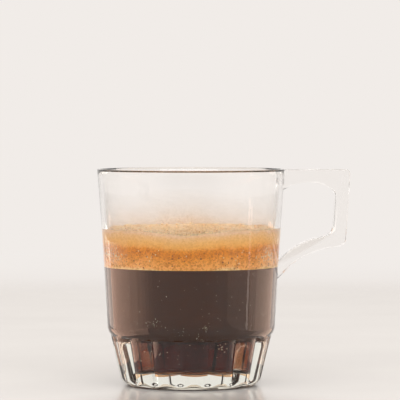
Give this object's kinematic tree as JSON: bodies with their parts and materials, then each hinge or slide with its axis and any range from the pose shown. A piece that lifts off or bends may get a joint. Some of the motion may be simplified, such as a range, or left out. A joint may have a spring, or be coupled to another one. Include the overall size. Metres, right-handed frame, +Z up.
{
  "type": "espresso in a glass cup",
  "caption": "Espresso with a deep layer of crema in a clear pressed-glass cup with a lobed lower part and a flat plate handle.",
  "frame": {"origin": "centre of the flat foot, on the cup's axis", "axes": "+Z up along the cup's axis, +X from the axis towards the handle"},
  "size_m": [0.0761, 0.0564, 0.065],
  "materials": {
    "clear_glass": "clear and smooth",
    "coffee": "dark brown liquid",
    "crema": "fine golden foam"
  },
  "bodies": {
    "root": {"glass_cup": "clear_glass", "coffee": "coffee", "crema": "crema"}
  },
  "joints": []
}
